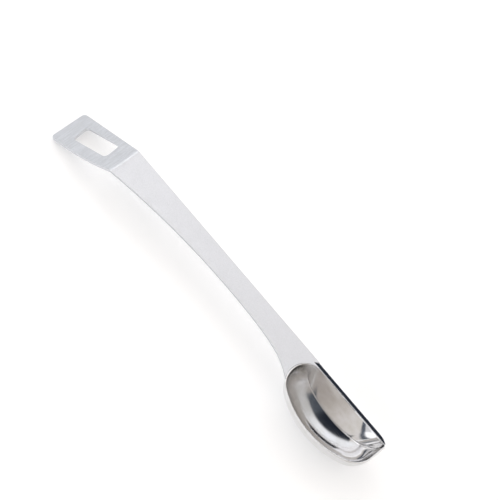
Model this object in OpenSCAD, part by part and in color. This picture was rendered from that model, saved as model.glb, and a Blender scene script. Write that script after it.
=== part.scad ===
// Measuring spoon: a drawn bowl welded into a flat handle plate with a bent hanging tab.
// Millimetres. +X runs to the tip of the bowl, +Y to the straight edge, +Z up.
// The origin is the middle of the plan, on the table that the spoon lies on.

/* [Bowl] */
// Length of the bowl from heel to tip
bowl_l = 54; // [50:0.5:60]
// Width of the bowl from the straight edge of the spoon to its rounded side
bowl_w = 26.5; // [25.5:0.5:29]
// Depth of the bowl inside
bowl_d = 20.2; // [18.5:0.1:22]
// Sheet thickness of the bowl
wall_t = 0.7; // [0.5:0.1:0.8]
// Corner radius at both ends of the rounded side
side_r = 11.6; // [10.5:0.1:12.5]
// Distance of those corner centres from the straight edge
side_c = 11.2; // [10:0.1:12]
// Corner radius where the straight wall meets the tip
tip_r = 1; // [0.9:0.1:2]
// Fullness of the profile, where 2 is an ellipse and more is squarer
fullness = 2.55; // [2:0.05:3]
// Distance by which the straight wall leans in at its foot
wall_lean = 1.4; // [0.5:0.1:3]
// Distance of the deepest point behind the middle of the bowl
keel_back = 2; // [0:0.5:4]
// Distance beyond the straight wall at which the rounded form would level out
keel_out = 4; // [2:0.5:6]
// Height that is flattened under the bowl for it to stand on
foot_cut = 0.15; // [0.1:0.05:0.3]

/* [Handle plate] */
// Sheet thickness of the handle plate
plate_t = 1.5; // [1.2:0.1:2]
// Length from the bend of the tab to the heel of the bowl
handle_l = 123.4; // [105:0.2:140]
// Width of the handle at its neck
neck_w = 10.2; // [8:0.2:12]
// Distance of the neck from the bend
neck_at = 77; // [60:1:85]
// Width of the handle at the bend
bend_w = 17.2; // [15:0.2:19]
// Even part of the flare between neck and bowl
flare_even = 2.8; // [2:0.1:3.5]
// Late part of the flare, close to the bowl
flare_late = 3.5; // [2.5:0.1:4]

/* [Edge strip] */
// Width of the strip of plate that runs along the straight wall of the bowl
strip_w = 2.1; // [1.8:0.1:2.5]
// Width of the bevel ground on the strip
bevel_w = 1.9; // [1:0.1:2.2]
// Drop of the bevel at the outer edge
bevel_drop = 0.45; // [0.2:0.05:0.8]
// Start of the bevel past the heel of the bowl
bevel_from = 4; // [2:0.5:12]
// Length over which the strip rounds off at the tip
nose_l = 6; // [4:0.5:9]

/* [Hanging tab] */
// Angle by which the tab is bent down
bend_angle = 29.2; // [26:0.1:31]
// Radius inside the bend
bend_r = 1.2; // [0.8:0.1:2]
// Width of the tab at its end
tab_end_w = 20.6; // [19.5:0.1:23]
// Corner radius of the tab
tab_r = 2; // [1:0.1:4]
// Length of the hanging window
window_l = 22; // [14:0.2:24]
// Width of the hanging window
window_w = 9.6; // [6:0.1:10.4]
// Corner radius of the hanging window
window_r = 2; // [0.8:0.1:2.6]
// Distance of the hanging window from the bend
window_from = 9.2; // [7:0.1:11]
// Distance of the middle of the window from the straight edge
window_c = 9.1; // [8.6:0.1:10.4]
// Angle by which the window is turned towards the curved edge
window_turn = 5; // [0:0.5:6]

/* [Weld] */
// Leg of the weld bead under the plate
bead = 1.2; // [0.8:0.1:1.5]
// Angle round the heel at which the bead starts
bead_angle = 22; // [10:1:24]
// Gap left between welded pieces
weld_gap = 0.05; // [0.02:0.01:0.1]

/* [Hidden] */

// Heights: the tab reaches down to the table, so that the rim lies level
rim_z = bowl_d + wall_t;
plate_z = rim_z - plate_t;
bend_z = plate_z - bend_r;
tab_l = (bend_z + bend_r * cos(bend_angle)) / sin(bend_angle);

// Stations along the spoon
bend_set = (bend_r + plate_t) * tan(bend_angle / 2);
tab_run = (bend_r + plate_t) * sin(bend_angle) + tab_l * cos(bend_angle);
spoon_l = bowl_l + handle_l - bend_set + tab_run;
tip_x = spoon_l / 2;
heel_x = tip_x - bowl_l;
mid_x = tip_x - bowl_l / 2;
bend_x = heel_x - handle_l;
plate_x = bend_x + bend_set;

// Lines across the spoon
edge_y = bowl_w / 2;
wall_y = edge_y - strip_w;
side_y = edge_y - side_c;

// Plan of the bowl: two corner arcs, a crown arc tangent to both, and the straight wall
heel_r = side_c - strip_w;
half = bowl_l / 2 - side_r;
rise = bowl_w - side_c;
crown_r = (half * half + rise * rise - side_r * side_r) / (2 * (rise - side_r));
crown_y = crown_r - edge_y;
join_a = atan((crown_r - rise) / half);
keel_x = mid_x - keel_back;
keel_y = wall_y + keel_out;
rings = 18;
sides = 60;

// Strip's rounded end, an arc from the straight edge to the tip
nose_r = (nose_l * nose_l + strip_w * strip_w) / (2 * strip_w);
nose_a = asin((nose_l - tip_r) / nose_r);

function arc(c, r, a0, a1, n) = [for (i = [0:n])
    let (a = a0 + (a1 - a0) * i / n) [c[0] + r * cos(a), c[1] + r * sin(a)]];

function heel_arc(d, n) = arc([heel_x + heel_r, side_y], heel_r + d, 180 - 90 / n, 90, n - 1);

// Plan of the bowl's outer wall, moved out by d
function plan(d) = concat(
    arc([tip_x - tip_r, wall_y - tip_r], tip_r + d, 90, 0, 5),
    arc([tip_x - side_r, side_y], side_r + d, 0, -join_a, 12),
    arc([mid_x, crown_y], crown_r + d, -join_a - 3, join_a - 177, 14),
    arc([heel_x + side_r, side_y], side_r + d, join_a - 180, -180, 12),
    heel_arc(d, 10));

// Distance along a path at each of its points
function along(path) = [for (i = 0, s = 0; i < len(path);
    s = s + (i + 1 < len(path) ? norm(path[i + 1] - path[i]) : 0), i = i + 1) s];

// Rounded form of the bowl: the share of the plan that is left at a share h of the full depth,
// and a point of the plan drawn in by it
function left(h) = pow(1 - pow(h, fullness), 1 / fullness);
function drawn(p, h) = [keel_x + (p[0] - keel_x) * left(h), keel_y + (p[1] - keel_y) * left(h)];

// Line of the straight wall at a height z, which leans in and cuts the rounded form off
function wall_line(d, z) = wall_y + d - wall_lean * (rim_z - z) / bowl_d;

// Full depth of the rounded form, which is down to z where the straight wall cuts it
function full_d(d, z) = (rim_z - z) / left((keel_y - wall_line(d, z)) / (keel_y + edge_y + d));

// One level of the bowl: the part of the plan on the near side of the wall, drawn in
function level(d, h, z) =
    let (path = plan(d), s = along(path), last = len(path) - 1,
        y = keel_y - (keel_y - wall_line(d, z)) / left(h),
        from = lookup(y, [for (i = [0:last]) if (path[i][0] > mid_x - 0.1) [path[i][1], s[i]]]),
        to = lookup(y, [for (i = [0:last]) if (path[i][0] < mid_x + 0.1) [path[i][1], s[i]]]),
        xs = [for (i = [0:last]) [s[i], path[i][0]]],
        ys = [for (i = [0:last]) [s[i], path[i][1]]])
    [for (k = [0:sides])
        let (v = k / sides, u = from + (to - from) * (0.2 * v + 0.4 * (1 - cos(180 * v))))
        concat(drawn([lookup(u, xs), lookup(u, ys)], h), [z])];

// Levels of the bowl from the rim to a height z, in a form that reaches down to low
function levels(d, z, low) =
    let (deep = full_d(d, low), end = asin(pow((rim_z - z) / deep, fullness / 2)))
    [for (j = [0:rings])
        let (h = pow(sin(end * j / rings), 2 / fullness)) level(d, h, rim_z - deep * h)];

// Width of the handle at a distance x from the bend
function flare(v) = flare_even * v * v + flare_late * pow(v, 6);
function width(x) = neck_w + (x < neck_at
    ? (bend_w - neck_w) * pow((neck_at - x) / neck_at, 2)
    : flare((x - neck_at) / (handle_l - neck_at)));

// Width of the tab at a share u of its length
function tab_width(u) = bend_w + (tab_end_w - bend_w) * (1 - pow(1 - u, 2.6));

// Closed skin through a list of levels with the same number of points.
// The sides between the last and the first point of each level are given as flats, from level to level.
module skin(levels, flats) {
    n = len(levels[0]);
    m = len(levels);
    sides = [for (i = [0:m - 2], k = [0:n - 2])
        [i * n + k, i * n + k + 1, (i + 1) * n + k + 1, (i + 1) * n + k]];
    closing = [for (f = flats)
        concat([for (i = [f[0]:f[1]]) i * n], [for (i = [f[1]:-1:f[0]]) i * n + n - 1])];
    first = [for (k = [0:n - 1]) n - 1 - k];
    last = [for (k = [0:n - 1]) (m - 1) * n + k];
    polyhedron([for (l = levels) each l], concat([first], sides, closing, [last]), convexity = 4);
}

// Bowl, a drawn shell with a narrow rim, a flat straight wall and a small flat to stand on
module bowl() {
    outside = levels(0, 0, -foot_cut);
    inside = levels(-wall_t, wall_t + 0.02, wall_t);
    color([0.78, 0.78, 0.80])
        skin(concat([for (j = [rings:-1:0]) outside[j]], inside),
            [[0, rings], [rings, rings + 1], [rings + 1, 2 * rings + 1]]);
}

// Sheet in side view, drawn across the spoon: flat plate, bend and tab, longer than both ends
module sheet() {
    over = 5;
    slope = [cos(bend_angle), sin(bend_angle)];
    outer = arc([0, 0], bend_r + plate_t, 90, 90 + bend_angle, 8);
    inner = arc([0, 0], bend_r, 90 + bend_angle, 90, 8);
    translate([plate_x, edge_y, bend_z])
        rotate([90, 0, 0])
            linear_extrude(tab_end_w + 1)
                polygon(concat(
                    [[tip_x + over - plate_x, bend_r], [tip_x + over - plate_x, bend_r + plate_t]],
                    outer, [outer[8] - (tab_l + over) * slope, inner[0] - (tab_l + over) * slope], inner));
}

// Cuts through the plate: beside the curved edge, the hollow end for the bowl, and round the strip's nose
module plate_cut() {
    from = bend_set - 0.56;
    horn = handle_l + 4.2;
    nose = arc([tip_x - nose_l, edge_y - nose_r], nose_r, 90, 90 - nose_a, 8);
    translate([0, 0, plate_z - 1])
        linear_extrude(plate_t + 2)
            union() {
                polygon(concat(
                    [[bend_x + from - 1, edge_y - 2 * bend_w], [bend_x + from - 1, edge_y - bend_w - 1]],
                    [for (i = [0:40])
                        let (x = from + (horn - from) * i / 40) [bend_x + x, edge_y - width(x)]],
                    [[heel_x + side_r, side_y], [heel_x + side_r, edge_y - 2 * bend_w]]));
                polygon(plan(weld_gap));
                polygon(concat(
                    [3 * nose[0] - 2 * nose[1]], nose,
                    [[tip_x - tip_r, wall_y - tip_r], [tip_x - side_r, side_y], [tip_x - side_r, -edge_y],
                        [tip_x + side_r, -edge_y], [tip_x + side_r, 2 * edge_y]]));
            }
}

// Cut of the bevel on the strip along the bowl
module bevel_cut() {
    translate([heel_x + bevel_from, edge_y - bevel_w, rim_z])
        rotate([-atan(bevel_drop / bevel_w), 0, 0])
            linear_extrude(plate_t)
                polygon([[0, 0], [bowl_l, 0], [bowl_l, 2 * bevel_w], [2 * bevel_w, 2 * bevel_w]]);
}

// Cut round the tab: its curved edge, its end and both corners
module tab_cut() {
    r = tab_r;
    side = tab_l - r;
    corner = arc([-side, -r], r, 90, 180, 8);
    polygon(concat(
        [3 * corner[0] - 2 * corner[1]], [for (i = [1:8]) corner[i]],
        arc([-side, r - tab_end_w], r, 180, 270, 8),
        [for (i = [11:-1:1]) [-side * i / 12, -tab_width(i / 12)]],
        [[0.26, -bend_w], [1, -bend_w - 0.1], [1, -2 * bend_w],
            [-2 * tab_l, -2 * bend_w], [-2 * tab_l, bend_w]]));
}

// Window of the tab
module window_plan() {
    translate([bend_set - window_from - window_l / 2, -window_c])
        rotate(window_turn)
            union() {
                square([window_l - 2 * window_r, window_w], center = true);
                square([window_l, window_w - 2 * window_r], center = true);
                for (x = [-1, 1], y = [-1, 1])
                    translate([x * (window_l / 2 - window_r), y * (window_w / 2 - window_r)])
                        circle(window_r, $fn = 48);
            }
}

// Handle, one bent sheet; its tab reaches down to the table
module handle() {
    color([0.88, 0.88, 0.90])
        difference() {
            sheet();
            plate_cut();
            bevel_cut();
            translate([plate_x, edge_y, bend_z])
                rotate([0, -bend_angle, 0])
                    linear_extrude(2 * (bend_r + plate_t))
                        union() {
                            tab_cut();
                            window_plan();
                        }
        }
}

// Run of the weld: round the heel and along the straight wall
function run(d) = concat(
    arc([heel_x + side_r, side_y], side_r + d, bead_angle - 180, -180, 6),
    heel_arc(d, 30),
    [[tip_x - nose_l, wall_y + d]]);

// A point of the run at a height z, close to the bowl
function beside(p, d, z) =
    let (q = drawn(p, (rim_z - z) / full_d(0, -foot_cut))) [q[0], min(q[1], wall_line(d, z)), z];

// Weld bead in the corner between the plate's underside and the bowl
module weld() {
    section = [[weld_gap, 0], [bead, 0], [0.7 * bead, 0.7 * bead], [weld_gap, bead]];
    top = plate_z - weld_gap;
    stations = len(run(0));
    color([0.70, 0.70, 0.72])
        skin([for (i = [0:stations - 1]) [for (s = section) beside(run(s[0])[i], s[0], top - s[1])]],
            [for (i = [0:stations - 2]) [i, i + 1]]);
}

handle();
bowl();
weld();
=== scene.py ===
"""Measuring spoon: a mirror-polished drawn bowl in a satin handle plate with a bent hanging tab."""

import math
from collections import namedtuple

import bmesh
import bpy
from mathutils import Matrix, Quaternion, Vector


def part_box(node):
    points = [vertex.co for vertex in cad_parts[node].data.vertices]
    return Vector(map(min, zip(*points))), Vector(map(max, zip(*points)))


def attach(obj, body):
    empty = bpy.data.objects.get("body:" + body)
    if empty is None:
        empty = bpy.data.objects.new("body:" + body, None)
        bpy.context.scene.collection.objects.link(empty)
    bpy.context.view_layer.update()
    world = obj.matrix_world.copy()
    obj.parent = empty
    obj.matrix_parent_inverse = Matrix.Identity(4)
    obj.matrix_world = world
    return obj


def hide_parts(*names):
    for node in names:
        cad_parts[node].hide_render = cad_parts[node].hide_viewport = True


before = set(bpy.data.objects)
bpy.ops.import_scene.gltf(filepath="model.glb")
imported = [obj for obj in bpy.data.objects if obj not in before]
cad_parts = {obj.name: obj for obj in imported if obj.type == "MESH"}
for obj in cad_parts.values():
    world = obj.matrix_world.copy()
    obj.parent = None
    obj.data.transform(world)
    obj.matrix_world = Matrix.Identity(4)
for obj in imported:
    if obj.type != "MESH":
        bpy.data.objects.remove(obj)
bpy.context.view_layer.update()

MM = 0.001

# Sizes of the part in millimetres and degrees, as in the part's source
BOWL_L = 54.0  # length of the bowl from heel to tip
BOWL_W = 26.5  # width from the straight edge of the spoon to the rounded side
BOWL_D = 20.2  # depth of the bowl inside
WALL_T = 0.7  # sheet thickness of the bowl
SIDE_R = 11.6  # corner radius at both ends of the rounded side
SIDE_C = 11.2  # distance of those corner centres from the straight edge
TIP_R = 1.0  # corner radius where the straight wall meets the tip
FULLNESS = 2.55  # of the profile, where 2 is an ellipse and more is squarer
WALL_LEAN = 1.4  # distance by which the straight wall leans in at its foot
KEEL_BACK = 2.0  # distance of the deepest point behind the middle of the bowl
KEEL_OUT = 4.0  # distance beyond the straight wall at which the rounded form would level out
FOOT_CUT = 0.15  # height that is flattened under the bowl
PLATE_T = 1.5  # sheet thickness of the handle plate
HANDLE_L = 123.4  # length from the bend of the tab to the heel of the bowl
STRIP_W = 2.1  # width of the strip of plate along the straight wall
BEVEL_W = 1.9  # width of the bevel ground on the strip
BEVEL_DROP = 0.45  # drop of the bevel at the outer edge
NOSE_L = 6.0  # length over which the strip rounds off at the tip
BEAD = 1.2  # leg of the weld bead under the plate
BEAD_ANGLE = 22  # angle round the heel at which the bead starts
WELD_GAP = 0.05  # gap left between welded pieces

# Finer forms, in millimetres or as a share, which only the scene has
LEAN_IN = 2.7  # lean of the straight wall inside
KEEL_IN = 13.5  # distance beyond the straight wall at which the inside would level out
ROCKER = 0.35  # share of its depth by which the inside rises towards both ends
EDGE_T = 0.18  # thickness to which the straight wall is ground at the rim
EASE_OUTSIDE = 0.4  # rounding between the bowl and its straight wall, outside
EASE_FOOT = 0.3  # the same inside, at the lowest point
EASE_TIP = 1.2  # what is added to it on the way up to the tip
EASE_HEEL = 0.7  # what is added to it on the way up to the heel
EASE_SKEW = 0.8  # below 1, so that most is added above half the depth
EASE_ROOM = 0.45  # most of the room beside it that the rounding may take
RUN_ON = 0.1  # share of the rounding by which a row runs on up the straight wall
EDGE_EASE = 0.12  # rounding of the edges of the handle plate
STRIP_EASE = 0.22  # rounding of the outer edge of the ground strip
RIPPLE_L = 1.1  # length of a ripple of the weld bead
RIPPLE_DEPTH = 0.12  # share of the bead by which it is thinner between two ripples
FADE_L = 1.5  # length over which the bead fades at both ends
FADE_LAST = 0.15  # share that the fade goes down to at the end by the tip
FADE_LEAST = 0.2  # least share of the bead that is kept all the same

# Steps of the meshes
TIP_STEPS, END_STEPS, CORNER_STEPS, CROWN_STEPS, HEEL_STEPS = 8, 24, 36, 60, 48  # round the plan
ROW_STEPS, EASE_STEPS = 70, 12  # from the rim down, and in the rounding at its end
LIP_STEPS, WALL_STEPS = 10, 40  # over the lip, and along the straight wall
HALVINGS = 40  # of the search for the place where a row meets the straight wall
BEAD_TURN, BEAD_STEP, BEAD_STEPS = 2, 0.35, 8  # degrees, millimetres, and steps across the bead
ROUND_STEPS, ROUND_PROFILE = 4, 0.5  # round an eased edge of the plate

# What counts as one place, a flat face, a corner and a direction on the plate
MERGE = 0.002 * MM
NO_LENGTH = 1e-6
FLAT_ANGLE = math.radians(0.4)
CORNER_ANGLE = math.radians(30)
TILT_NEAR, UPWARD, SIDEWAYS = 0.05, 0.9, 0.7
LARGE_FACES = 100  # weight of large faces in the shading of the plate

# Heights, and the part of the bevel's direction that points to the straight edge
RIM_Z = BOWL_D + WALL_T
PLATE_Z = RIM_Z - PLATE_T
LIP = WALL_T / 2
BEVEL_TILT = math.sin(math.atan(BEVEL_DROP / BEVEL_W))

# Lines of the part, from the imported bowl
TIP_X = (Vector(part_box("bowl")[1]) / MM).x
HEEL_X = TIP_X - BOWL_L
BEND_X = HEEL_X - HANDLE_L
MID_X = TIP_X - BOWL_L / 2
EDGE_Y = BOWL_W / 2
WALL_Y = EDGE_Y - STRIP_W
SIDE_Y = EDGE_Y - SIDE_C
HEEL_R = SIDE_C - STRIP_W

# Crown arc of the plan, tangent to both corner arcs
HALF = BOWL_L / 2 - SIDE_R
RISE = BOWL_W - SIDE_C
CROWN_R = (HALF**2 + RISE**2 - SIDE_R**2) / (2 * (RISE - SIDE_R))
CROWN_Y = CROWN_R - EDGE_Y
JOIN_A = math.degrees(math.atan((CROWN_R - RISE) / HALF))

# The two sides of the bowl's sheet: how far it lies out, how far its straight wall leans, the line
# that its rounded form is drawn to, and its rise towards both ends
Side = namedtuple("Side", "out lean keel_x keel_y rocker")
OUTSIDE = Side(0.0, WALL_LEAN, MID_X - KEEL_BACK, WALL_Y + KEEL_OUT, 0.0)
INSIDE = Side(-WALL_T, LEAN_IN, MID_X, WALL_Y + KEEL_IN, ROCKER)


def arc(centre, r, a0, a1, n):
    """n + 1 points of an arc."""
    angles = [math.radians(a0 + (a1 - a0) * i / n) for i in range(n + 1)]
    return [(centre[0] + r * math.cos(a), centre[1] + r * math.sin(a)) for a in angles]


def line(p, q, n):
    """n - 1 points between p and q, closer together near both."""
    shares = [(1 - math.cos(math.pi * i / n)) / 2 for i in range(1, n)]
    return [(p[0] + (q[0] - p[0]) * t, p[1] + (q[1] - p[1]) * t) for t in shares]


def plan(out):
    """Curved part of the bowl's plan, moved out from its outer wall. The straight wall moves less."""
    shift = out * EDGE_T / WALL_T - out
    loop = arc((TIP_X - TIP_R, WALL_Y - TIP_R + shift), TIP_R + out, 90, 0, TIP_STEPS)
    loop += line((TIP_X + out, WALL_Y - TIP_R + shift), (TIP_X + out, SIDE_Y), END_STEPS)
    loop += arc((TIP_X - SIDE_R, SIDE_Y), SIDE_R + out, 0, -JOIN_A, CORNER_STEPS)
    loop += arc((MID_X, CROWN_Y), CROWN_R + out, -JOIN_A, JOIN_A - 180, CROWN_STEPS)[1:]
    loop += arc((HEEL_X + SIDE_R, SIDE_Y), SIDE_R + out, JOIN_A - 180, -180, CORNER_STEPS)[1:]
    loop += arc((HEEL_X + HEEL_R, WALL_Y - HEEL_R + shift), HEEL_R + out, 180, 90, HEEL_STEPS)
    return loop


def wall_line(side, z):
    """Line of the leaning straight wall at a height z."""
    return WALL_Y + side.out * EDGE_T / WALL_T - side.lean * (RIM_Z - z) / BOWL_D


def full_depth(side, low):
    """Depth of the rounded form whose cut at the straight wall is down to low."""
    across = (side.keel_y - wall_line(side, low)) / (side.keel_y + EDGE_Y + side.out)
    return (RIM_Z - low) / (1 - across**FULLNESS) ** (1 / FULLNESS)


def drawn(side, depth, rim, angle):
    """Point at an angle below the rim on the meridian from a point of the rim."""
    across = math.cos(angle) ** (2 / FULLNESS)
    down = math.sin(angle) ** (2 / FULLNESS)
    x, y = (rim[0] - side.keel_x) * across, (rim[1] - side.keel_y) * across
    rise = side.rocker * (x / (BOWL_L / 2)) ** 2
    return side.keel_x + x, side.keel_y + y, RIM_Z - depth * down * (1 - rise)


def meridian(side, depth, rim):
    """Meridian from below the lip down to the straight wall."""
    start = math.asin((LIP / depth) ** (FULLNESS / 2))
    low, high = start, math.pi / 2
    for _ in range(HALVINGS):
        angle = (low + high) / 2
        y, z = drawn(side, depth, rim, angle)[1:]
        low, high = (angle, high) if y < wall_line(side, z) else (low, angle)
    angles = [start + (low - start) * i / ROW_STEPS for i in range(ROW_STEPS + 1)]
    points = [drawn(side, depth, rim, angle) for angle in angles]
    return [Vector((x, min(y, wall_line(side, z)), max(z, 0.0))) for x, y, z in points]


def lengths(path):
    """Length along a path up to each of its points."""
    run = [0.0]
    for a, b in zip(path, path[1:]):
        run.append(run[-1] + (b - a).length)
    return run


def cut_short(path, gap):
    """The path with its last stretch of length gap taken off, in as many steps."""
    run = lengths(path)
    short, k = [], 0
    for i in range(len(path)):
        at = max(run[-1] - gap, 0.0) * i / (len(path) - 1)
        while k < len(path) - 2 and run[k + 1] < at:
            k += 1
        stretch = run[k + 1] - run[k]
        short.append(path[k].lerp(path[k + 1], (at - run[k]) / stretch if stretch else 0.0))
    return short


def crease_ease(side, point):
    """Width of the rounding where the bowl meets the straight wall at a point."""
    if side is OUTSIDE:
        return EASE_OUTSIDE
    down = min(max((RIM_Z - point.z) / BOWL_D, 0.0), 1.0)
    added = EASE_TIP if point.x > side.keel_x else EASE_HEEL
    return EASE_FOOT * down + added * math.sin(math.pi * down**EASE_SKEW)


def link(name, data):
    """New object in the scene, with a mesh or a camera."""
    obj = bpy.data.objects.new(name, data)
    bpy.context.scene.collection.objects.link(obj)
    return obj


def add_mesh(name, points, faces, flat=()):
    """Smooth mesh of points in millimetres, with the faces numbered in flat left flat."""
    mesh = bpy.data.meshes.new(name)
    mesh.from_pydata([Vector(p) * MM for p in points], [], faces)
    mesh.shade_smooth()
    for i in flat:
        mesh.polygons[i].use_smooth = False
    form = bmesh.new()
    form.from_mesh(mesh)
    bmesh.ops.remove_doubles(form, verts=form.verts, dist=MERGE)
    bmesh.ops.recalc_face_normals(form, faces=form.faces)
    form.to_mesh(mesh)
    form.free()
    mesh.validate()
    return link(name, mesh)


def bowl_rows(side, depth):
    """Rows of one side of the sheet, each from the lip down and rounded into the straight wall."""
    rows = [meridian(side, depth, rim) for rim in plan(side.out)]
    crease = [row[-1] for row in rows]
    inward = Vector((0, -1, side.lean / BOWL_D)).normalized()
    eased = []
    for k, (row, corner) in enumerate(zip(rows, crease)):
        run = crease[max(k - 1, 0)] - crease[min(k + 1, len(rows) - 1)]
        up = inward.cross(run).normalized() if run.length > NO_LENGTH else Vector((0, 0, 1))
        room = max(min(lengths(row)[-1], RIM_Z - LIP - corner.z), 0.0)
        ease = min(crease_ease(side, corner), EASE_ROOM * room)
        short = cut_short(row, ease)
        start, end = short[-1], corner + up * ease
        for i in range(1, EASE_STEPS + 1):
            t = i / EASE_STEPS
            short.append(start * (1 - t) ** 2 + corner * 2 * t * (1 - t) + end * t * t)
        short.append(end + up * RUN_ON * ease)
        eased.append(short)
    return eased


def make_bowl():
    """Shell with a lip: rings round the lip, rows and a flat wall on both sides."""
    points, faces, flat = [], [], []

    def add_side(side, low):
        """Adds the rows of a side, drawn down to low, and its wall. Gives its points below the lip."""
        rows = bowl_rows(side, full_depth(side, low))
        first, count = len(points), len(rows[0])
        rim = [first + k * count for k in range(len(rows))]
        for row in rows:
            points.extend(row)
        last, z = len(points), RIM_Z - LIP
        straight = line(rows[-1][0], rows[0][0], WALL_STEPS)
        points.extend((x, wall_line(side, z), z) for x, _ in straight)
        top = list(range(last, len(points)))
        loops = []
        for a, b in zip(rim, rim[1:]):
            loops += [(a + i, b + i, b + i + 1, a + i + 1) for i in range(count - 1)]
        flat.append(len(faces) + len(loops))
        loops.append(top + [rim[0]] + [a + count - 1 for a in rim] + [rim[-1]])
        faces.extend(loops if side is INSIDE else [loop[::-1] for loop in loops])
        return rim + top

    rings = [add_side(OUTSIDE, -FOOT_CUT)]
    for i in range(1, LIP_STEPS):
        turn = math.pi * i / LIP_STEPS
        curve = plan(LIP * math.cos(turn) - LIP)
        curve += line(curve[-1], curve[0], WALL_STEPS)
        rings.append(list(range(len(points), len(points) + len(curve))))
        points.extend((x, y, RIM_Z - LIP + LIP * math.sin(turn)) for x, y in curve)
    rings.append(add_side(INSIDE, WALL_T))
    n = len(rings[0])
    for a, b in zip(rings, rings[1:]):
        faces.extend((a[k], a[(k + 1) % n], b[(k + 1) % n], b[k]) for k in range(n))
    return add_mesh("bowl_shell", points, faces, flat)


def is_ground(face):
    """True for a face of the ground strip beside the bowl."""
    return abs(face.normal.y - BEVEL_TILT) < TILT_NEAR and face.normal.z > UPWARD


def beside_strip(edge):
    """True for an edge of the ground strip."""
    return any(is_ground(face) for face in edge.link_faces)


def outside_strip(edge):
    """True for the edge between the ground strip and the straight edge of the spoon."""
    return beside_strip(edge) and max(face.normal.y for face in edge.link_faces) > SIDEWAYS


def round_off(form, width, chosen):
    """Rounds the chosen corners of the sheet."""
    corners = [e for e in form.edges if e.calc_face_angle(0.0) > CORNER_ANGLE and chosen(e)]
    bmesh.ops.bevel(
        form,
        geom=corners,
        offset=width * MM,
        segments=ROUND_STEPS,
        profile=ROUND_PROFILE,
        affect="EDGES",
        clamp_overlap=True,
    )
    form.normal_update()


def make_handle():
    """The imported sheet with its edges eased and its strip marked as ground."""
    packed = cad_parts["handle"]
    mesh = bpy.data.meshes.new("handle_sheet")
    form = bmesh.new()
    form.from_mesh(packed.data)
    form.transform(packed.matrix_world)
    bmesh.ops.remove_doubles(form, verts=form.verts, dist=MERGE)
    bmesh.ops.dissolve_limit(form, angle_limit=FLAT_ANGLE, verts=form.verts, edges=form.edges)
    form.normal_update()
    round_off(form, STRIP_EASE, outside_strip)
    round_off(form, EDGE_EASE, lambda edge: not beside_strip(edge))
    for face in form.faces:
        face.smooth = True
        face.material_index = 1 if is_ground(face) else 0
    for edge in form.edges:
        edge.smooth = len({face.material_index for face in edge.link_faces}) == 1
    form.to_mesh(mesh)
    form.free()
    obj = link("handle_sheet", mesh)
    even_out = obj.modifiers.new("flat_faces", "WEIGHTED_NORMAL")
    even_out.weight = LARGE_FACES
    even_out.keep_sharp = True
    return obj


def weld_run():
    """Line of the weld round the heel and along the straight wall, with the way out of the bowl."""
    turns = [(SIDE_R, a) for a in range(BEAD_ANGLE - 180, -180 - 1, -BEAD_TURN)]
    turns += [(HEEL_R, a) for a in range(180 - BEAD_TURN, 90 - 1, -BEAD_TURN)]
    run = []
    for r, degrees in turns:
        x, y = math.cos(math.radians(degrees)), math.sin(math.radians(degrees))
        run.append((Vector((HEEL_X + r + r * x, SIDE_Y + r * y)), Vector((x, y))))
    start, end = run[-1][0].x, TIP_X - NOSE_L
    steps = int((end - start) / BEAD_STEP)
    for i in range(1, steps + 1):
        run.append((Vector((start + (end - start) * i / steps, WALL_Y)), Vector((0, 1))))
    return run


def make_weld():
    """Bead in the corner under the plate, with the ripples that a torch leaves."""
    run = weld_run()
    points, faces, gone = [], [], 0.0
    for i, (at, out) in enumerate(run):
        gone += (at - run[i - 1][0]).length if i else 0.0
        left = (len(run) - 1 - i) * BEAD_STEP
        ripple = 1 - RIPPLE_DEPTH * abs(math.sin(math.pi * gone / RIPPLE_L))
        fade = min(1.0, gone / FADE_L, left / FADE_L + FADE_LAST)
        leg = BEAD * ripple * max(fade, FADE_LEAST)
        for k in range(BEAD_STEPS + 1):
            a = math.pi / 2 * k / BEAD_STEPS
            d, z = WELD_GAP + leg * math.cos(a), PLATE_Z - WELD_GAP - leg * math.sin(a)
            lean = WALL_Y - wall_line(OUTSIDE, z) if out.y == 1 else 0.0
            points.append((at.x + out.x * d, at.y + out.y * d - lean, z))
        inner = at + out * WELD_GAP
        points.append((inner.x, inner.y, PLATE_Z - WELD_GAP))
    m = BEAD_STEPS + 2
    for i in range(len(run) - 1):
        a, b = i * m, (i + 1) * m
        faces += [(a + k, a + (k + 1) % m, b + (k + 1) % m, b + k) for k in range(m)]
    faces += [tuple(reversed(range(m))), tuple(range((len(run) - 1) * m, len(run) * m))]
    return add_mesh("weld_bead", points, faces)


def node_tree(name):
    """New material with its nodes and its shader."""
    mat = bpy.data.materials.new(name)
    mat.use_nodes = True
    tree = mat.node_tree
    return mat, tree, tree.nodes["Principled BSDF"]


def add_node(tree, kind, inputs=None, **settings):
    """New node, with each input linked to a socket or set to a value."""
    node = tree.nodes.new(kind)
    for key, value in settings.items():
        setattr(node, key, value)
    for key, value in (inputs or {}).items():
        if hasattr(value, "links"):
            tree.links.new(value, node.inputs[key])
        else:
            node.inputs[key].default_value = value
    return node


def calculate(tree, operation, *values):
    """Result of a calculation with the values."""
    return add_node(tree, "ShaderNodeMath", dict(enumerate(values)), operation=operation).outputs[0]


def total(tree, *values):
    """Sum of the values."""
    out = values[0]
    for value in values[1:]:
        out = calculate(tree, "ADD", out, value)
    return out


def span(tree, value, start, end, low=0.0, high=1.0):
    """Smooth change from low to high while the value goes from start to end."""
    inputs = {"Value": value, "From Min": start, "From Max": end, "To Min": low, "To Max": high}
    node = add_node(tree, "ShaderNodeMapRange", inputs, interpolation_type="SMOOTHSTEP")
    return node.outputs["Result"]


def parts_of(tree, vector):
    """X, Y and Z of a vector."""
    return add_node(tree, "ShaderNodeSeparateXYZ", {0: vector}).outputs


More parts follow.
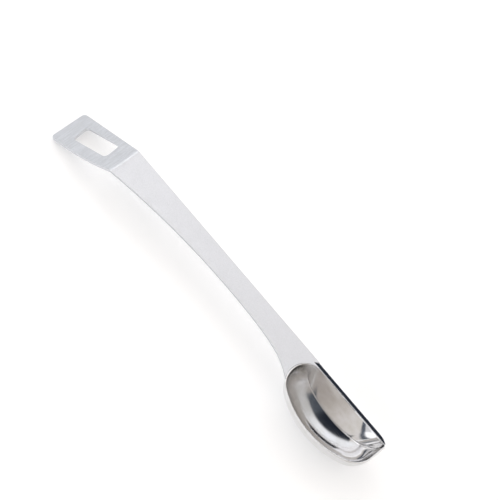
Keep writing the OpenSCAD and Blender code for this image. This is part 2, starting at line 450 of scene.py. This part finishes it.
def millimetres(tree, scale=(1, 1, 1)):
    """Place on the piece in millimetres, with each direction scaled."""
    inputs = {0: add_node(tree, "ShaderNodeTexCoord").outputs["Object"], 1: [k / MM for k in scale]}
    return add_node(tree, "ShaderNodeVectorMath", inputs, operation="MULTIPLY").outputs[0]


def noise(tree, place, scale=1.0, detail=3.0, rough=0.5):
    """Soft noise over a place."""
    inputs = {"Vector": place, "Scale": scale, "Detail": detail, "Roughness": rough}
    return add_node(tree, "ShaderNodeTexNoise", inputs).outputs["Fac"]


# Colour sockets of Blender's mix node, which share their names with others
MIX_LOW, MIX_HIGH, MIX_RESULT = 6, 7, 2


def mix_colours(tree, share, low, high, label=""):
    """Colour between low and high."""
    inputs = {"Factor": share, MIX_LOW: low, MIX_HIGH: high}
    mix = add_node(tree, "ShaderNodeMix", inputs, data_type="RGBA", label=label)
    return mix.outputs[MIX_RESULT]


def two_tone(tree, value, start, end, low, high):
    """Colour between two tones while the value goes from start to end."""
    return mix_colours(tree, span(tree, value, start, end), low + (1,), high + (1,))


def metal(tree, shader, tone, rough, relief, depth):
    """Makes the shader a metal of a tone and roughness, with a relief of a depth in millimetres."""
    bump = add_node(tree, "ShaderNodeBump", {"Height": relief, "Distance": depth * MM, "Strength": 1.0})
    shader.inputs["Metallic"].default_value = 1.0
    tree.links.new(tone, shader.inputs["Base Color"])
    tree.links.new(rough, shader.inputs["Roughness"])
    tree.links.new(bump.outputs["Normal"], shader.inputs["Normal"])


# Where a finish or a painted shade changes, in millimetres or by direction
HEEL_BRIGHT, HEEL_DULL = 19.0, 5.0  # past the heel of the bowl
WALL_BRIGHT, WALL_DULL = 3.2, 2.2  # before the straight wall
BEND_BEFORE, BEND_PAST = 3.0, 2.0  # on both sides of the bend of the tab
CUT_UP, FACE_UP = 0.2, 0.7  # upward part of the direction of a cut edge and of a face


def mirror_steel():
    """Drawn and buffed steel. The wheel reaches the heel and the flat wall less well."""
    mat, tree, shader = node_tree("mirror_steel")
    place = millimetres(tree)
    part = parts_of(tree, place)
    mottle = noise(tree, place, scale=0.22, detail=4.0)
    marks = noise(tree, millimetres(tree, (0.12, 3.0, 3.0)), detail=4.0, rough=0.6)
    waves = noise(tree, place, scale=0.12, detail=1.0)
    heel = span(tree, part["X"], HEEL_X + HEEL_BRIGHT, HEEL_X + HEEL_DULL, high=0.13)
    wall = span(tree, part["Y"], WALL_Y - WALL_BRIGHT, WALL_Y - WALL_DULL, high=0.06)
    mottled = span(tree, mottle, 0.3, 0.7, low=0.03, high=0.06)
    marked = span(tree, marks, 0.3, 0.8, high=0.02)
    tone = two_tone(tree, mottle, 0.3, 0.75, (0.69, 0.685, 0.68), (0.74, 0.74, 0.75))
    rough = total(tree, heel, wall, mottled, marked)
    metal(tree, shader, tone, rough, total(tree, marks, waves), depth=0.002)
    return mat


def ground_steel():
    """Ground and polished edge, with fine marks along it."""
    mat, tree, shader = node_tree("ground_steel")
    marks = noise(tree, millimetres(tree, (0.08, 6.0, 6.0)), rough=0.6)
    tone = two_tone(tree, marks, 0.3, 0.7, (0.68, 0.68, 0.69), (0.73, 0.73, 0.74))
    rough = span(tree, marks, 0.3, 0.8, low=0.04, high=0.10)
    metal(tree, shader, tone, rough, marks, depth=0.002)
    return mat


def satin_steel():
    """Evenly blasted sheet, with painted shade on the cut edges of the handle, and brush marks across
    the tab which also paint shade over the whole tab but not over its cut edges.
    """
    mat, tree, shader = node_tree("satin_steel")
    place = millimetres(tree)
    part = parts_of(tree, place)
    upward = parts_of(tree, add_node(tree, "ShaderNodeTexCoord").outputs["Normal"])["Z"]
    grain = noise(tree, place, scale=2.6, detail=2.0, rough=0.6)
    cloud = noise(tree, place, scale=0.25)
    brush = noise(tree, millimetres(tree, (1.8, 0.12, 1.0)), rough=0.65)
    on_tab = span(tree, part["X"], BEND_X + BEND_BEFORE, BEND_X - BEND_PAST)
    on_handle = span(tree, part["X"], BEND_X - BEND_PAST, BEND_X + BEND_BEFORE)
    on_face = span(tree, upward, CUT_UP, FACE_UP)
    on_cut = span(tree, upward, FACE_UP, CUT_UP, high=0.8)
    # Brush streaks across the tab, only on its faces that point up. They also darken the tab as a whole
    # as painted shade, so its cut edges stay lighter.
    brush_streaks_and_shade = span(tree, brush, 0.3, 0.7, low=0.15, high=0.85)
    brush_streaks_and_shade = calculate(tree, "MULTIPLY", brush_streaks_and_shade, calculate(tree, "MULTIPLY", on_tab, on_face))
    # Painted shade: the cut edges of the handle, which face sideways, are darker.
    painted_edge_shade = calculate(tree, "MULTIPLY", on_cut, on_handle)
    shade = total(tree, span(tree, grain, 0.3, 0.7, low=0.25, high=0.75), brush_streaks_and_shade, painted_edge_shade)
    tone = two_tone(tree, shade, 0.1, 1.6, (0.695, 0.708, 0.738), (0.56, 0.57, 0.585))
    clouded = span(tree, cloud, 0.3, 0.7, low=0.34, high=0.40)
    rough = total(tree, clouded, span(tree, grain, 0.3, 0.7, high=0.05))
    relief = total(tree, grain, calculate(tree, "MULTIPLY", brush, on_tab))
    metal(tree, shader, tone, rough, relief, depth=0.012)
    return mat


def weld_steel():
    """Brushed bead with a trace of heat colour."""
    mat, tree, shader = node_tree("weld_steel")
    tint = noise(tree, millimetres(tree), scale=0.35, detail=2.0)
    grain = noise(tree, millimetres(tree, (0.6, 2.5, 2.5)), scale=1.6, rough=0.6)
    tone = two_tone(tree, tint, 0.35, 0.7, (0.69, 0.69, 0.70), (0.66, 0.61, 0.54))
    rough = span(tree, grain, 0.3, 0.7, low=0.28, high=0.46)
    metal(tree, shader, tone, rough, grain, depth=0.03)
    return mat


def paint(obj, *mats):
    """Gives an object its materials."""
    for mat in mats:
        obj.data.materials.append(mat)


def dress(obj, node, slot, *mats):
    """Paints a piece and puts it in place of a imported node."""
    paint(obj, *mats)
    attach(obj, "root")
    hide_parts(node)


# Camera of the photograph: places and nearest and farthest view in metres, roll in degrees, and
# the width of the sensor and the lens in millimetres
CAMERA_AT = (0.17275, -0.38689, 0.92345)
CAMERA_AIM = (-0.00281, 0.02369, 0.0202)
CAMERA_ROLL = 28.38
CAMERA_SENSOR, CAMERA_LENS = 36.0, 158.4
CAMERA_NEAR, CAMERA_FAR = 0.05, 50.0


def make_camera():
    """Camera with the view of the photograph."""
    data = bpy.data.cameras.new("camera")
    data.sensor_width = CAMERA_SENSOR
    data.lens = CAMERA_LENS
    data.clip_start, data.clip_end = CAMERA_NEAR, CAMERA_FAR
    cam = link("camera", data)
    cam.location = CAMERA_AT
    look = (Vector(CAMERA_AIM) - Vector(CAMERA_AT)).to_track_quat("-Z", "Y")
    cam.rotation_mode = "QUATERNION"
    cam.rotation_quaternion = look @ Quaternion((0, 0, 1), math.radians(CAMERA_ROLL))
    bpy.context.scene.camera = cam


# Floor: half its size and its distance below the part in metres, its tone, and its own light
FLOOR_HALF, FLOOR_DROP = 4.0, 0.0002
FLOOR_TONE, FLOOR_ROUGH, FLOOR_LIGHT = 0.82, 0.9, 0.27


def make_floor():
    """White floor. Only the camera and the reflections see the light that it has of its own."""
    corners = [(-1, -1), (1, -1), (1, 1), (-1, 1)]
    mesh = bpy.data.meshes.new("floor")
    mesh.from_pydata([(x * FLOOR_HALF, y * FLOOR_HALF, 0) for x, y in corners], [], [(0, 1, 2, 3)])
    floor = link("floor", mesh)
    floor.location.z = -FLOOR_DROP
    mat, tree, shader = node_tree("floor_white")
    shader.inputs["Base Color"].default_value = (FLOOR_TONE, FLOOR_TONE, FLOOR_TONE, 1)
    shader.inputs["Roughness"].default_value = FLOOR_ROUGH
    shader.inputs["Specular IOR Level"].default_value = 0.0
    path = add_node(tree, "ShaderNodeLightPath").outputs
    seen = calculate(tree, "MAXIMUM", path["Is Camera Ray"], path["Is Glossy Ray"])
    strength = calculate(tree, "MULTIPLY", seen, FLOOR_LIGHT)
    glow = add_node(tree, "ShaderNodeEmission", {"Color": (1, 1, 1, 1), "Strength": strength})
    both = add_node(tree, "ShaderNodeAddShader", {0: shader.outputs[0], 1: glow.outputs[0]})
    tree.links.new(both.outputs[0], tree.nodes["Material Output"].inputs["Surface"])
    paint(floor, mat)


# Studio round the object. Each direction has an angle from overhead across the spoon, plus on the
# camera's side, and a part along it from -1 over the tab to 1 over the tip.
STUDIO_LEVEL = 1.2
# Part along and colour
STUDIO_ALONG = [
    (-1.0, (1.10, 1.05, 1.02)),
    (-0.5, (1.00, 0.96, 0.92)),
    (-0.2, (0.88, 0.83, 0.79)),
    (0.1, (0.71, 0.66, 0.61)),
    (0.4, (0.58, 0.53, 0.49)),
    (1.0, (0.54, 0.50, 0.47)),
]
# Name, angles and edge, parts along and edges, colour
STUDIO_PATCHES = [
    ("heel_fill", (-75, -8), 8, (0.25, 1.2), (0.15, 0.1), (0.78, 0.74, 0.70)),
    ("front_fill", (44, 88), 2, (-1.2, 1.2), (0.1, 0.1), (0.80, 0.79, 0.78)),
    ("front_softbox", (44, 88), 2.5, (-1.2, -0.1), (0.1, 0.45), (1.33, 1.35, 1.39)),
    ("stand", (25.5, 42), 2.5, (-0.62, 0.56), (0.03, 0.14), (0.11, 0.125, 0.15)),
    ("camera", (25.5, 41.5), 2.5, (-0.62, 0.05), (0.03, 0.20), (0.020, 0.026, 0.040)),
    ("end_fill", (-12, 12), 3, (-1.2, -0.67), (0.1, 0.02), (0.95, 0.95, 0.97)),
    ("end_lamp", (-26, 4), 3, (-1.2, -0.79), (0.1, 0.03), (2.00, 2.00, 2.04)),
    ("end_softbox", (10, 48), 6, (-1.2, -0.67), (0.1, 0.02), (1.70, 1.70, 1.73)),
    ("arm", (-8, 41), 4, (-0.668, -0.625), (0.020, 0.025), (0.13, 0.15, 0.19)),
    ("far_lamp", (-24, -14), 3, (-0.60, -0.46), (0.04, 0.04), (2.30, 2.30, 2.34)),
    ("far_softbox", (-37, -27), 6, (-0.6, 0.14), (0.15, 0.1), (1.50, 1.50, 1.53)),
    ("far_dark", (-52.5, -32), 2, (-0.27, 0.06), (0.05, 0.15), (0.022, 0.026, 0.038)),
    ("far_white", (-90, -57), 3, (-0.33, 0.15), (0.05, 0.25), (1.90, 1.90, 1.95)),
    ("far_strip", (-48, -23), 4, (-0.46, -0.31), (0.05, 0.04), (1.80, 1.80, 1.85)),
    ("far_stand", (-50, -32), 4, (-0.68, -0.50), (0.04, 0.03), (0.50, 0.52, 0.55)),
    ("far_end", (-95, -40), 6, (-1.2, -0.76), (0.1, 0.1), (0.58, 0.60, 0.63)),
]
# The patches at the tab's end lean: their part along goes down by so much for each degree
LEANING = ("end_fill", "end_lamp", "end_softbox", "arm")
LEAN_PER_DEGREE = 0.0045


def make_world():
    """Studio painted by direction, as a change along the spoon with patches over it, on white."""
    world = bpy.data.worlds.new("studio")
    bpy.context.scene.world = world
    world.use_nodes = True
    tree = world.node_tree
    part = parts_of(tree, add_node(tree, "ShaderNodeTexCoord").outputs["Generated"])
    near = calculate(tree, "MULTIPLY", part["Y"], -1.0)
    angle = calculate(tree, "DEGREES", calculate(tree, "ARCTAN2", near, part["Z"]))
    along = part["X"]
    leaning = calculate(tree, "MULTIPLY_ADD", angle, LEAN_PER_DEGREE, along)

    def band(value, low, high, soft_low, soft_high):
        """1 between low and high, with a soft edge outside each."""
        rise = span(tree, value, low - soft_low, low)
        fall = span(tree, value, high, high + soft_high, low=1.0, high=0.0)
        return calculate(tree, "MULTIPLY", rise, fall)

    place = add_node(tree, "ShaderNodeMapRange", {"Value": along, "From Min": -1.0, "From Max": 1.0})
    ramp = add_node(tree, "ShaderNodeValToRGB", {"Fac": place.outputs["Result"]})
    stops = ramp.color_ramp.elements
    for i, (x, tint) in enumerate(STUDIO_ALONG):
        stop = stops[i] if i < len(stops) else stops.new(1.0)
        stop.position = (x + 1) / 2
        stop.color = tint + (1,)
    colour = ramp.outputs["Color"]
    for name, (a0, a1), edge, (x0, x1), (left, right), tint in STUDIO_PATCHES:
        across = band(angle, a0, a1, edge, edge)
        lengthwise = band(leaning if name in LEANING else along, x0, x1, left, right)
        share = calculate(tree, "MULTIPLY", across, lengthwise)
        colour = mix_colours(tree, share, colour, tint + (1,), label=name)
    studio = tree.nodes["Background"]
    studio.inputs["Strength"].default_value = STUDIO_LEVEL
    tree.links.new(colour, studio.inputs["Color"])
    backdrop = add_node(tree, "ShaderNodeBackground", {"Color": (1, 1, 1, 1), "Strength": 1.0})
    by_camera = add_node(tree, "ShaderNodeLightPath").outputs["Is Camera Ray"]
    inputs = {0: by_camera, 1: studio.outputs[0], 2: backdrop.outputs[0]}
    seen = add_node(tree, "ShaderNodeMixShader", inputs)
    tree.links.new(seen.outputs[0], tree.nodes["World Output"].inputs["Surface"])


bpy.context.scene.view_settings.view_transform = "Standard"
make_camera()
make_world()
make_floor()

dress(make_bowl(), "bowl", "mirror_steel", mirror_steel())
dress(make_handle(), "handle", "satin_steel", satin_steel(), ground_steel())
dress(make_weld(), "weld", "weld_steel", weld_steel())
